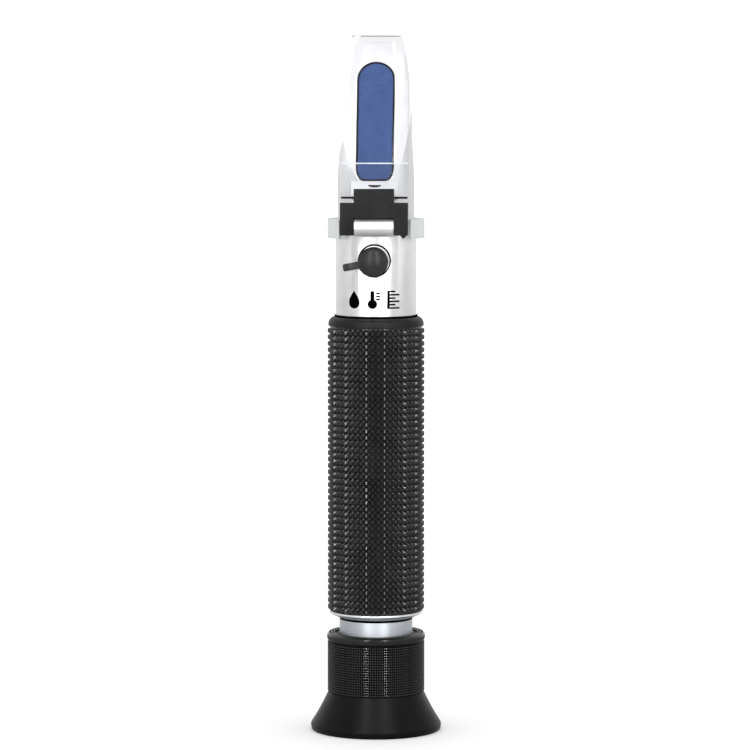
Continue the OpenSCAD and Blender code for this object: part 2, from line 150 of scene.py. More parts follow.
def combine(obj, other, operation):
    """Boolean of two closed meshes; the other one is used up."""
    mod = obj.modifiers.new("boolean", "BOOLEAN")
    mod.operation = operation
    mod.solver = "EXACT"
    mod.object = other
    bpy.context.view_layer.update()
    bake_modifiers(obj)
    bpy.data.objects.remove(other)


def round_edges(obj, width, segments=3, angle=30.0, smooth=35.0):
    """Rounds every edge sharper than angle, width in millimetres."""
    mod = obj.modifiers.new("bevel", "BEVEL")
    mod.width = width * MM
    mod.segments = segments
    mod.limit_method = "ANGLE"
    mod.angle_limit = math.radians(angle)
    mod.use_clamp_overlap = True
    mod.miter_outer = "MITER_ARC"
    bpy.context.view_layer.update()
    bake_modifiers(obj)
    tidy(obj, smooth)


def fillet(points, steps=5):
    """Closed outline with each (x, y, r) corner rounded to radius r, or to what its sides have room for."""
    out = []
    straight = 0.02
    count = len(points)
    for i, (x, y, r) in enumerate(points):
        here = Vector((x, y))
        before = Vector(points[i - 1][:2])
        after = Vector(points[(i + 1) % count][:2])
        a = (before - here).normalized()
        b = (after - here).normalized()
        corner = a.angle(b, 0.0)
        if r <= 0 or corner < straight or corner > math.pi - straight:
            out.append((x, y))
            continue
        room = min((before - here).length, (after - here).length) * 0.49
        reach = min(r / math.tan(corner / 2), room)
        radius = reach * math.tan(corner / 2)
        centre = here + (a + b).normalized() * (radius / math.sin(corner / 2))
        start = here + a * reach - centre
        end = here + b * reach - centre
        sweep = start.angle_signed(end, 0.0)
        for k in range(steps + 1):
            p = centre + Matrix.Rotation(-sweep * k / steps, 2) @ start
            out.append((p.x, p.y))
    return out


def stack(name, rings, material, angle=35.0):
    """Closed tube through rings of equal count, each a list of (radius, height) round +Z."""
    count = len(rings[0])
    verts = []
    for ring in rings:
        for i, (r, z) in enumerate(ring):
            a = 2 * math.pi * i / count
            verts.append((r * math.cos(a), r * math.sin(a), z))
    faces = []
    for j in range(len(rings)):
        k = (j + 1) % len(rings)
        for i in range(count):
            n = (i + 1) % count
            faces.append((j * count + i, j * count + n, k * count + n, k * count + i))
    return make(name, verts, faces, material, angle)


def lathe(name, outline, material, count=144, angle=35.0):
    """Solid of revolution about Z from a closed outline of (radius, height, corner radius)."""
    return stack(name, [[p] * count for p in fillet(outline)], material, angle)


def extrude(name, outline, axis, low, high, material):
    """Straight extrusion of a closed outline along X, Y or Z; the outline is in the other two, in order."""
    def place(p, d):
        return {"x": (d, p[0], p[1]), "y": (p[0], d, p[1]), "z": (p[0], p[1], d)}[axis]

    count = len(outline)
    verts = [place(p, low) for p in outline] + [place(p, high) for p in outline]
    faces = [tuple(range(count)), tuple(range(2 * count - 1, count - 1, -1))]
    for i in range(count):
        n = (i + 1) % count
        faces.append((i, n, n + count, i + count))
    return make(name, verts, faces, material)


def block(name, low, high, material=None):
    """Box between two corners, for cutting and joining."""
    outline = [(low[0], low[1]), (high[0], low[1]), (high[0], high[1]), (low[0], high[1])]
    return extrude(name, outline, "z", low[2], high[2], material)


def turn(obj, matrix):
    """Moves an object's own points."""
    obj.data.transform(matrix)
    obj.data.update()


def paint(obj, material, chosen):
    """Gives another material to the faces that chosen(middle in mm, normal) accepts."""
    obj.data.materials.append(material)
    for face in obj.data.polygons:
        if chosen(face.center / MM, face.normal):
            face.material_index = len(obj.data.materials) - 1


def along_y(obj, y, z):
    """Turns a lathed piece so that its axis points out to -Y, from the point (0, y, z)."""
    turn(obj, Matrix.Translation((0, y * MM, z * MM)) @ Matrix.Rotation(math.radians(90), 4, "X"))


def to_face(obj):
    """Moves a piece drawn flat onto the prism's face: Y runs up the face and Z points out of it."""
    turn(obj, Matrix.Translation((0, 0, FACE_Z * MM)) @ Matrix.Rotation(math.pi / 2 - FACE_TILT, 4, "X"))


def face_y(z):
    """Where the prism's face is at height z."""
    return (z - FACE_Z) * math.tan(FACE_TILT)


# ---------------------------------------------------------------- materials

def shader(name, base, roughness, metallic=0.0, specular=0.5):
    """A Principled material and its node tree."""
    mat = bpy.data.materials.new(name)
    mat.use_nodes = True
    tree = mat.node_tree
    bsdf = tree.nodes["Principled BSDF"]
    bsdf.inputs["Base Color"].default_value = (*base, 1.0)
    bsdf.inputs["Roughness"].default_value = roughness
    bsdf.inputs["Metallic"].default_value = metallic
    bsdf.inputs["Specular IOR Level"].default_value = specular
    return mat, tree, bsdf


def noise(tree, scale, detail=3.0, stretch=(1, 1, 1)):
    """Noise over object coordinates; scale is in waves per metre."""
    coords = tree.nodes.new("ShaderNodeTexCoord")
    mapping = tree.nodes.new("ShaderNodeMapping")
    mapping.inputs["Scale"].default_value = stretch
    tex = tree.nodes.new("ShaderNodeTexNoise")
    tex.inputs["Scale"].default_value = scale
    tex.inputs["Detail"].default_value = detail
    tree.links.new(coords.outputs["Object"], mapping.inputs["Vector"])
    tree.links.new(mapping.outputs["Vector"], tex.inputs["Vector"])
    return tex.outputs["Fac"]


def spread(tree, value, low, high, source=(0.3, 0.7)):
    """Maps a 0 to 1 value onto a range."""
    node = tree.nodes.new("ShaderNodeMapRange")
    node.inputs["From Min"].default_value = source[0]
    node.inputs["From Max"].default_value = source[1]
    node.inputs["To Min"].default_value = low
    node.inputs["To Max"].default_value = high
    tree.links.new(value, node.inputs["Value"])
    return node.outputs["Result"]


def tint(tree, value, dark, light, socket):
    """Blends two colours by a 0 to 1 value."""
    ramp = tree.nodes.new("ShaderNodeValToRGB")
    ramp.color_ramp.elements[0].position = 0.3
    ramp.color_ramp.elements[0].color = (*dark, 1.0)
    ramp.color_ramp.elements[1].position = 0.7
    ramp.color_ramp.elements[1].color = (*light, 1.0)
    tree.links.new(value, ramp.inputs["Fac"])
    tree.links.new(ramp.outputs["Color"], socket)


def bump(tree, bsdf, height, distance, strength=1.0):
    """Bump of a given distance in millimetres."""
    node = tree.nodes.new("ShaderNodeBump")
    node.inputs["Strength"].default_value = strength
    node.inputs["Distance"].default_value = distance * MM
    tree.links.new(height, node.inputs["Height"])
    tree.links.new(node.outputs["Normal"], bsdf.inputs["Normal"])


def satin_metal(name, base, roughness, lines=(1, 1, 40), metallic=1.0):
    """Satin-plated turned metal with fine lathe lines round the axis."""
    mat, tree, bsdf = shader(name, base, roughness, metallic=metallic)
    fine = noise(tree, 120.0, 4.0, lines)
    cloudy = noise(tree, 260.0, 3.0)
    tree.links.new(spread(tree, cloudy, roughness - 0.05, roughness + 0.07), bsdf.inputs["Roughness"])
    dark = tuple(c * 0.965 for c in base)
    light = tuple(min(1.0, c * 1.02) for c in base)
    tint(tree, cloudy, dark, light, bsdf.inputs["Base Color"])
    bump(tree, bsdf, fine, 0.006, 0.5)
    return mat


def rubber(name, base, roughness, grain=2600.0, specular=0.22, depth=0.015):
    """Rubber or moulded plastic with a fine grain, depth in millimetres, and slightly lighter patches."""
    mat, tree, bsdf = shader(name, base, roughness, specular=specular)
    cloudy = noise(tree, 190.0, 4.0)
    dark = tuple(c * 0.8 for c in base)
    light = tuple(c * 1.35 for c in base)
    tint(tree, cloudy, dark, light, bsdf.inputs["Base Color"])
    tree.links.new(spread(tree, cloudy, roughness - 0.05, roughness + 0.08), bsdf.inputs["Roughness"])
    bump(tree, bsdf, noise(tree, grain, 2.0), depth, 0.5)
    return mat


def clear_acrylic(name, base, haze, ior):
    """Clear plate with faint wiping marks; haze is its roughness."""
    mat, tree, bsdf = shader(name, base, haze)
    bsdf.inputs["Transmission Weight"].default_value = 1.0
    bsdf.inputs["IOR"].default_value = ior
    streaks = noise(tree, 300.0, 4.0, (6, 1, 1))
    tree.links.new(spread(tree, streaks, haze * 0.6, haze * 1.5), bsdf.inputs["Roughness"])
    return mat


def lens_glass(name, base, coat):
    """Polished optical glass with a tinted anti-reflection coat."""
    mat, tree, bsdf = shader(name, base, 0.01)
    bsdf.inputs["Transmission Weight"].default_value = 1.0
    bsdf.inputs["IOR"].default_value = 1.52
    bsdf.inputs["Coat Weight"].default_value = 0.4
    bsdf.inputs["Coat Tint"].default_value = (*coat, 1.0)
    tree.links.new(spread(tree, noise(tree, 400.0), 0.005, 0.02), bsdf.inputs["Roughness"])
    return mat


def blue_prism():
    """Deep blue, softly shining working face with a slight cloudiness."""
    dark, light = (0.030, 0.066, 0.205), (0.043, 0.084, 0.245)
    mat, tree, bsdf = shader("blue_prism", light, 0.5, specular=0.1)
    cloudy = noise(tree, 420.0, 5.0)
    tint(tree, cloudy, dark, light, bsdf.inputs["Base Color"])
    bump(tree, bsdf, noise(tree, 900.0, 2.0), 0.004, 0.3)
    return mat


def frosted_plastic():
    """Pale grey, slightly translucent moulded plastic."""
    dark, light = (0.565, 0.59, 0.58), (0.60, 0.625, 0.615)
    reach = 0.6 * MM
    mat, tree, bsdf = shader("frosted_plastic", light, 0.42, specular=0.4)
    bsdf.inputs["Subsurface Weight"].default_value = 0.25
    bsdf.inputs["Subsurface Radius"].default_value = (reach, reach, reach)
    cloudy = noise(tree, 350.0, 3.0)
    tint(tree, cloudy, dark, light, bsdf.inputs["Base Color"])
    bump(tree, bsdf, noise(tree, 2200.0, 2.0), 0.01, 0.4)
    return mat


METAL = satin_metal("satin_metal", base=(0.94, 0.94, 0.95), roughness=0.42)
NOSE_METAL = satin_metal("nose_metal", base=(0.72, 0.72, 0.735), roughness=0.42, metallic=0.75)
BARREL_METAL = satin_metal("barrel_metal", base=(0.54, 0.57, 0.60), roughness=0.46, lines=(1, 1, 60))
INNER_METAL = satin_metal("inner_metal", base=(0.62, 0.62, 0.63), roughness=0.35)
STEEL = satin_metal("turned_steel", base=(0.52, 0.52, 0.53), roughness=0.22, lines=(40, 1, 1))
BRASS = satin_metal("turned_brass", base=(0.72, 0.53, 0.24), roughness=0.28, lines=(1, 40, 1))
GRIP_RUBBER = rubber("grip_rubber", (0.017, 0.017, 0.018), 0.17, specular=0.35, depth=0.002)
SHOULDER_RUBBER = rubber("shoulder_rubber", (0.008, 0.008, 0.0085), 0.46, specular=0.2)
KNURL_RUBBER = rubber("knurl_rubber", (0.003, 0.0033, 0.0037), 0.09, specular=1.0, depth=0.0)
# Painted shade: a darker copy of the rubber with almost no shine, for the knurl's valleys.
VALLEY_SHADE_RUBBER = rubber("valley_painted_shade", (0.002, 0.0023, 0.0027), 0.6, specular=0.05)
CAP_RUBBER = rubber("cap_rubber", (0.022, 0.022, 0.023), 0.34, specular=0.25)
SOFT_RUBBER = rubber("soft_rubber", (0.003, 0.0034, 0.0038), 0.36, specular=0.10)
BLACK_PLASTIC = rubber("black_plastic", (0.016, 0.016, 0.0165), 0.42, grain=3200.0, specular=0.12)
GLOSS_PLASTIC = rubber("gloss_plastic", (0.004, 0.004, 0.0042), 0.16, grain=3200.0, specular=0.5, depth=0.003)
# Dead black for the mark's print and the prism's seal, and also painted shade: the grip's top lip, the ring's
# grooves, the barrel's groove, the crescent under the window and the ring round the bush.
INK_AND_PAINTED_SHADE = rubber("black_fill_and_painted_shade", (0.001, 0.001, 0.001), 0.6, specular=0.0)
ACRYLIC = clear_acrylic("clear_acrylic", (0.985, 0.988, 0.993), 0.02, 1.3)
HAZY_ACRYLIC = clear_acrylic("hazy_acrylic", (0.93, 0.945, 0.95), 0.16, 1.3)
# Painted highlight: pale strip along the plate's kink.
FOLD_HIGHLIGHT = rubber("fold_painted_highlight", (0.82, 0.86, 0.92), 0.6, grain=4000.0, specular=0.4)
# Painted shade: grey strip for the dark line at the plate's tip.
TIP_SHADE_GREY = rubber("tip_painted_shade", (0.30, 0.31, 0.32), 0.6, grain=4000.0, specular=0.3)
LENS = lens_glass("coated_lens", (0.97, 0.985, 0.98), (0.75, 0.85, 1.0))
PRISM_BLUE = blue_prism()
FROSTED = frosted_plastic()


# ---------------------------------------------------------------- knurled sleeves

def bump_profile(t, slope, dome):
    """Height from 0 to 1 of a bump across one pitch, t from 0 to 1; slope is its flank's share."""
    x = min(1.0, (0.5 - abs(t - 0.5)) / slope)
    return x * x * (3 - 2 * x) * (1 - dome * abs(2 * t - 1))


def bumpy_rings(valley, height, low, high, columns, rows, samples, dome=0.0):
    """Rings of a cylinder covered by a grid of bumps; samples are where each pitch, from 0 to 1, is cut."""
    # the middle sample, or the one before the middle, is where the first flank ends
    slope = samples[(len(samples) - 1) // 2]
    across = [bump_profile(t, slope, dome) for _ in range(columns) for t in samples]
    pitch = (high - low) / rows
    rings = []
    for row in range(rows):
        for t in samples:
            z = low + pitch * (row + t)
            up = bump_profile(t, slope, dome)
            rings.append([(valley + height * up * h, z) for h in across])
    rings.append([(valley, high)] * len(across))
    return rings


def make_grip():
    """Rubber grip: a field of square bumps under a smooth rounded shoulder, with a thin lip at the top
    painted dead black as shade between grip and neck.
    """
    columns = 50
    samples = (0.0, 0.13, 0.26, 0.74, 0.87)
    count = columns * len(samples)
    low, high = GRIP_LOW[2], GRIP_HIGH[2]
    tip = GRIP_HIGH[0]
    rows = 44
    height = 0.85
    valley = tip - height
    field_low = low + 0.2
    shoulder_low = high - 3.7
    shoulder_r = tip - 0.2
    top = high - 0.5
    corner = 2.1
    rings = [[(TUBE_R, low)] * count, [(valley - 0.2, low)] * count]
    rings += bumpy_rings(valley, height, field_low, shoulder_low, columns, rows, samples)
    rings += [[(valley, shoulder_low + 0.3)] * count, [(shoulder_r - 0.15, shoulder_low + 0.4)] * count,
              [(shoulder_r, shoulder_low + 0.6)] * count]
    steps = 8
    for k in range(steps + 1):
        a = math.pi / 2 * k / steps
        point = (shoulder_r - corner + corner * math.cos(a), top - corner + corner * math.sin(a))
        rings.append([point] * count)
    rings += [[(TUBE_R + 0.4, top)] * count, [(TUBE_R + 0.3, high)] * count, [(TUBE_R, high)] * count]
    grip = stack("grip", rings, GRIP_RUBBER, angle=30)
    paint(grip, SHOULDER_RUBBER, lambda middle, normal: middle.z > shoulder_low + 0.5)
    # Painted shade: the thin lip at the top is dead black for the dark gap between the grip and the neck.
    paint(grip, INK_AND_PAINTED_SHADE, lambda middle, normal: middle.z > top + 0.01)
    turn(grip, Matrix.Rotation(math.radians(-2), 4, "Z"))
    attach(grip, "housing")
    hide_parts("grip_sleeve")


def make_eyecup():
    """Rubber eyecup: finely knurled sleeve over a smooth flare with a rounded rim."""
    columns, rows = 132, 20
    samples = (0.0, 0.22, 0.5, 0.78)
    dome = 0.07
    count = columns * len(samples)
    top = CUP_HIGH[2]
    sleeve_low = RING_LOW[2] - 1.2
    rim = CUP_HIGH[0]
    tip = 14.1
    height = 0.2
    rim_r = 0.8
    rim_h = 1.7
    edge_r = 0.4
    edge_turn = 28
    flare_sag = 0.22
    foot = rim - rim_r
    outline = [
        (THROAT_R, RING_LOW[2]), (THROAT_R, sleeve_low - 0.2), (THROAT_R + 1.2, sleeve_low - 0.6),
        (CUP_SEAT_R, sleeve_low - 3.4), (foot - 2.3, 2.6), (foot - 1.3, 0.4), (foot - 0.8, 0.0),
    ]
    steps = 6
    for k in range(steps + 1):
        a = math.radians(90 * k / steps)
        outline.append((foot + rim_r * math.sin(a) ** 0.45, rim_h - rim_h * math.cos(a) ** 1.3))
    steps = 5
    for k in range(1, steps + 1):
        a = math.radians(edge_turn * k / steps)
        outline.append((rim - edge_r + edge_r * math.cos(a), rim_h + edge_r * math.sin(a)))
    flare = (tip - height, sleeve_low + 0.1)
    start = outline[-1]
    steps = 12
    for k in range(1, steps + 1):
        t = k / steps
        sag = -flare_sag * math.sin(math.pi * t)
        outline.append((start[0] + (flare[0] - start[0]) * t + sag, start[1] + (flare[1] - start[1]) * t))
    rings = [[p] * count for p in outline]
    rings += bumpy_rings(tip - height, height, sleeve_low + 0.35, top - 0.5, columns, rows, samples, dome)
    rings += [[(tip - 0.15, top - 0.3)] * count, [(tip - 0.4, top)] * count, [(CUP_SEAT_R, top)] * count,
              [(CUP_SEAT_R, RING_LOW[2])] * count]
    cup = stack("eyecup_rubber", rings, SOFT_RUBBER, angle=30)
    crest_r = tip - 0.2 * height
    # Painted shade: the knurl's valleys and flanks get a darker copy of the rubber with almost no shine, and
    # the crests a glossier copy that shines strongly.
    paint(cup, VALLEY_SHADE_RUBBER, lambda middle, normal: sleeve_low + 0.2 < middle.z < top - 0.5)
    paint(cup, KNURL_RUBBER, lambda middle, normal: middle.z > sleeve_low and middle.xy.length > crest_r)
    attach(cup, "focus_ring")
    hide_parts("eyecup")


# ---------------------------------------------------------------- turned parts of the eyepiece end

def make_eyepiece_ring():
    """Black eyepiece ring: smooth rim bead, two grooves in its top face painted dead black as shade, and a
    seal round the barrel.
    """
    bore = BARREL_HIGH[0] + 0.05
    rim = RING_HIGH[0]
    low, top = RING_LOW[2], RING_HIGH[2]
    bead = CUP_HIGH[2]
    deep = top - 0.8
    seat_r, seat = bore + 1.45, top - 1.2
    grooves_r = 13.62
    outline = [
        (THROAT_R, low, 0.1), (CUP_SEAT_R, low, 0.1), (CUP_SEAT_R, bead, 0), (rim - 0.25, bead, 0.2),
        (rim, bead + 0.5, 0.3), (rim, top - 0.55, 0.4), (rim - 0.6, top, 0.3), (13.65, top, 0.12),
        (13.6, deep, 0.05), (13.2, deep, 0.05), (13.15, top - 0.05, 0.15), (12.8, top - 0.05, 0.15),
        (12.75, deep, 0.05), (12.4, deep, 0.05), (12.35, top - 0.1, 0.12), (seat_r, top - 0.1, 0.1),
        (seat_r, seat, 0), (bore, seat, 0), (bore, low + 1, 0), (THROAT_R, low + 1, 0),
    ]
    ring = lathe("eyepiece_ring_body", outline, BLACK_PLASTIC)
    paint(ring, GLOSS_PLASTIC, lambda middle, normal: middle.z > top - 0.7)
    # Painted shade: the grooves in the top face and the hollow inside them are dead black.
    paint(ring, INK_AND_PAINTED_SHADE, lambda middle, normal: middle.xy.length < grooves_r and bead < middle.z < top - 0.3)
    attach(ring, "focus_ring")
    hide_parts("eyepiece_ring")
    seal_outline = [
        (bore, seat, 0), (bore + 1.4, seat, 0), (bore + 1.4, top - 0.5, 0.15),
        (bore + 0.75, top - 0.55, 0.1), (bore + 0.4, top - 0.1, 0.2), (bore, top - 0.2, 0.05),
    ]
    seal = lathe("barrel_seal", seal_outline, SOFT_RUBBER)
    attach(seal, "focus_ring")
    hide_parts("seal_ring")


def make_barrel():
    """Bare metal barrel with a relief groove under the end ring, painted dead black as shade."""
    r = BARREL_HIGH[0]
    low, high = BARREL_LOW[2], BARREL_HIGH[2]
    step = END_HIGH[2]
    under = END_LOW[2]
    groove_r = r - 0.6
    outline = [
        (CELL_BORE_R, low, 0.1), (r, low, 0.2), (r, under - 0.75, 0.05), (groove_r, under - 0.65, 0.05),
        (groove_r, under - 0.1, 0.05), (r, under + 0.1, 0.05), (r, step, 0), (SPIGOT_R, step, 0),
        (SPIGOT_R, high, 0.2), (CELL_BORE_R, high, 0.1),
    ]
    barrel = lathe("barrel", outline, BARREL_METAL)
    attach(barrel, "housing")
    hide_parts("eyepiece_barrel")
    # Painted shade: the relief groove under the end ring is dead black.
    paint(barrel, INK_AND_PAINTED_SHADE, lambda middle, normal: under - 0.7 < middle.z < under - 0.05)


def make_end_ring():
    """Bevelled metal ring that closes the grip's lower end."""
    low, high = END_LOW[2], END_HIGH[2]
    r = END_HIGH[0]
    outline = [
        (BARREL_HIGH[0] + 0.05, low, 0.05), (TUBE_R - 0.35, low, 0.25), (r - 0.5, low + 0.75, 0.3),
        (r, high - 0.55, 0.25), (r, high, 0.08), (BARREL_HIGH[0] + 0.05, high, 0),
    ]
    ring = lathe("bevelled_end_ring", outline, METAL)
    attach(ring, "housing")
    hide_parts("end_ring")


# ---------------------------------------------------------------- prism head

def window_outline(grow, steps=20):
    """Oblong window with a round top and rounded lower corners, in the face's own plane."""
    half = WINDOW_W / 2 + grow
    wide, tall = 2.3 + grow, 4.0 + grow
    corner_steps = 8
    low, high = WINDOW_LOW - grow, WINDOW_TOP + grow
    points = []
    for k in range(steps + 1):
        a = math.pi * k / steps
        points.append((half * math.cos(a), high - half + half * math.sin(a)))
    for side, start in ((-1, 180), (1, 270)):
        for k in range(corner_steps + 1):
            a = math.radians(start + 90 * k / corner_steps)
            points.append((side * (half - wide) + wide * math.cos(a), low + tall + tall * math.sin(a)))
    return points


def head_shell():
    """Neck, collar seat and nose of the head, before the face is cut."""
    low = HEAD_LOW[2]
    step = TUBE_HIGH[2]
    outline = [
        (HEAD_BORE_R, low, 0), (SPIGOT_R, low, 0.2), (SPIGOT_R, step, 0), (TUBE_R, step, 0),
        (TUBE_R, NOSE_Z - 0.2, 0.15), (NOSE_R, NOSE_Z, 0.1), (NOSE_R, NOSE_Z + 12, 12),
        (NOSE_TIP_R, NOSE_Z + 24, 12), (NOSE_TIP_R, NOSE_TIP_Z, 0), (0, NOSE_TIP_Z, 0),
        (0, HEAD_BORE_TOP, 0), (HEAD_BORE_R, HEAD_BORE_TOP, 0),
    ]
    return lathe("head", outline, METAL, count=160)


def make_head():
    """Cast and plated prism head: neck, hinge lug, slanted face and oblong window."""
    head = head_shell()
    pad_half = 6.6
    pad = block("pad", (-pad_half, -11.15, NOSE_Z - 1.5), (pad_half, -6, NOSE_Z + 11))
    combine(head, pad, "UNION")
    steps = 16
    lug_root = -9.2
    turns = [math.pi * k / steps for k in range(steps + 1)]
    lug_outline = [(PIN_Y - LUG_R * math.sin(a), PIN_Z + LUG_R * math.cos(a)) for a in turns]
    lug_outline += [(lug_root, PIN_Z - LUG_R), (lug_root, PIN_Z + LUG_R)]
    lug = extrude("lug", lug_outline, "x", -LUG_W / 2, LUG_W / 2, None)
    combine(head, lug, "UNION")
    cutter = block("face_cut", (-13, WINDOW_LOW - 4.2, 0), (13, 40, 30))
    to_face(cutter)
    combine(head, cutter, "DIFFERENCE")
    window = extrude("window_cut", window_outline(0), "z", -LIP_T - 3, 3, None)
    to_face(window)
    combine(head, window, "DIFFERENCE")
    cavity_half = WEDGE_W / 2 + WEDGE_GAP
    cavity = extrude("cavity_cut", wedge_outline(WEDGE_GAP), "x", -cavity_half, cavity_half, None)
    combine(head, cavity, "DIFFERENCE")
    r, depth = BUSH_HIGH[0], 6
    bush_hole = lathe("bush_cut", [(0, 0, 0), (r, 0, 0), (r, depth, 0), (0, depth, 0)], None, count=64)
    along_y(bush_hole, -8.4, CAL_Z)
    combine(head, bush_hole, "DIFFERENCE")
    round_edges(head, 0.22, 3, 32)
    paint(head, NOSE_METAL, lambda middle, normal: middle.z > COLLAR_LOW[2])
    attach(head, "housing")
    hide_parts("prism_head")


def wedge_outline(gap):
    """Side outline of the wedge behind the window, in Y and Z; with a gap, that of its cavity in the head."""
    shift = (LIP_T - gap) / math.cos(FACE_TILT)
    front, back = -7 - gap, 5 + gap
    into_bore = 1 if gap else 0
    low = HEAD_BORE_TOP - gap - into_bore
    return [
        (front, low), (back, low), (back, FACE_Z + (back - shift) / math.tan(FACE_TILT)),
        (front, FACE_Z + (front - shift) / math.tan(FACE_TILT)),
    ]


def band(name, outer, inner, low, high, material):
    """Closed flat band between two outlines of equal count."""
    count = len(outer)
    verts = [(*p, z) for z in (low, high) for p in outer + inner]
    faces = []
    for i in range(count):
        n = (i + 1) % count
        a, b, c, d = i, n, count + i, count + n
        top = 2 * count
        faces += [(a, b, d, c), (a + top, c + top, d + top, b + top), (a, a + top, b + top, b),
                  (c, d, d + top, c + top)]
    return make(name, verts, faces, material)


def make_prism():
    """Blue working prism: a face that fills the window, on the wedge behind it."""
    glass = extrude("prism_glass", window_outline(-GASKET_T), "z", -LIP_T - 0.25, -0.04, PRISM_BLUE)
    round_edges(glass, 0.12, 2, 40)
    to_face(glass)
    wedge = extrude("wedge", wedge_outline(0), "x", -WEDGE_W / 2, WEDGE_W / 2, None)
    combine(glass, wedge, "UNION")
    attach(glass, "housing")
    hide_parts("prism")


def make_gasket():
    """Black seal bead between the prism and its window."""
    gasket = band("prism_seal", window_outline(0), window_outline(-GASKET_T), -LIP_T, 0.08, INK_AND_PAINTED_SHADE)
    round_edges(gasket, 0.08, 2, 40)
    to_face(gasket)
    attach(gasket, "housing")
    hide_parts("prism_gasket")


def make_shade_crescent():
    """Small dead-black half-moon set into the face between the window and the hinge, painted shade for the
    dark crescent there.
    """
    half, depth = 1.85, 0.75
    steps = 16
    turns = [math.pi * k / steps for k in range(steps + 1)]
    outline = [(half * math.cos(a), depth * math.sin(a) ** 0.8 * -1) for a in turns]
    shade_crescent = extrude("face_shade_crescent", outline, "z", -0.4, 0.02, INK_AND_PAINTED_SHADE)
    turn(shade_crescent, Matrix.Translation((0, (WINDOW_LOW - 1.15) * MM, 0)))
    to_face(shade_crescent)
    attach(shade_crescent, "housing")


def make_collar():
    """Frosted ring that snaps round the head, open at the front for the hinge."""
    low, high = COLLAR_LOW[2], COLLAR_HIGH[2]
    r = 14.0
    outline = [(TUBE_R, low, 0), (r, low, 0), (r, high, 0), (TUBE_R, high, 0)]
    ring = lathe("collar", outline, FROSTED, count=180)
    half = -BRACKET_LOW[0] + 0.6
    combine(ring, block("gap", (-half, -20, low - 1), (half, -8.4, high + 1)), "DIFFERENCE")
    round_edges(ring, 0.3, 3, 40)
    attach(ring, "housing")
    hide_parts("collar_ring")


# ---------------------------------------------------------------- cover

def make_plate():
    """Clear daylight plate: a thick slab over the prism with a kink down to its hazed hinge tail; a pale
    strip along the kink is painted highlight and a grey strip at the tip painted shade.
    """
    outer = (FILM_GAP + PLATE_T) / math.cos(FACE_TILT)
    inner = FILM_GAP / math.cos(FACE_TILT)
    tail_low = BRACKET_HIGH[2] - 4 + 1.7
    kink = NOSE_Z + 16.2
    tip = PLATE_HIGH[2]
    half = PLATE_HIGH[0]
    tip_half = 7.2
    turn_z = FACE_Z + (TAIL_INNER + inner) / math.tan(FACE_TILT)
    kink_y = face_y(kink) - outer

    def outer_y(z):
        if z < kink:
            return TAIL_OUTER + (kink_y - TAIL_OUTER) * (z - tail_low) / (kink - tail_low)
        return face_y(z) - outer

    def inner_y(z):
        return face_y(z) - inner if z > turn_z else TAIL_INNER

    steps = 16
    heights = [tail_low, turn_z, kink] + [FACE_Z + (tip - FACE_Z) * k / steps for k in range(steps + 1)]
    verts = []
    for z in heights:
        along = max(0.0, (z - FACE_Z) / (tip - FACE_Z))
        w = half - (half - tip_half) * along ** 2
        verts += [(-w, inner_y(z), z), (w, inner_y(z), z), (w, outer_y(z), z), (-w, outer_y(z), z)]
    faces = [(0, 1, 2, 3), tuple(len(verts) - 1 - k for k in range(4))]
    for j in range(len(heights) - 1):
        for i in range(4):
            n = (i + 1) % 4
            faces.append((4 * j + i, 4 * j + n, 4 * j + 4 + n, 4 * j + 4 + i))
    plate = make("clear_cover", verts, faces, ACRYLIC)
    tab = block("tab", (-TAB_HALF, TAIL_OUTER, PLATE_LOW[2]), (TAB_HALF, TAIL_INNER, tail_low + 0.4))
    combine(plate, tab, "UNION")
    round_edges(plate, 0.3, 3, 20, 30)
    paint(plate, HAZY_ACRYLIC, lambda middle, normal: middle.z < kink or abs(normal.x) > 0.4)
    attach(plate, "cover")
    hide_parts("daylight_plate")
    # Painted highlight: a pale opaque strip along the kink stands in for the bright line that the kink's edge
    # reflects.
    line = [
        (kink_y - 0.03, kink - 0.16), (kink_y - 0.08, kink),
        (kink_y + 0.03, kink + 0.16), (kink_y + 0.12, kink),
    ]
    fold_highlight = extrude("painted_fold_highlight", line, "x", 0.4 - half, half - 0.4, FOLD_HIGHLIGHT)
    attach(fold_highlight, "cover")
    # Painted shade: a grey opaque strip along the tip's front edge stands in for the dark line that the tip's
    # edge shows.
    lip_y = outer_y(tip)
    line = [
        (lip_y + 0.1, tip - 0.3), (lip_y + 0.3, tip - 0.42),
        (lip_y + 0.5, tip - 0.3), (lip_y + 0.3, tip - 0.02),
    ]
    tip_shade = extrude("painted_tip_shade", line, "x", 0.3 - tip_half, tip_half - 0.3, TIP_SHADE_GREY)
    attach(tip_shade, "cover")


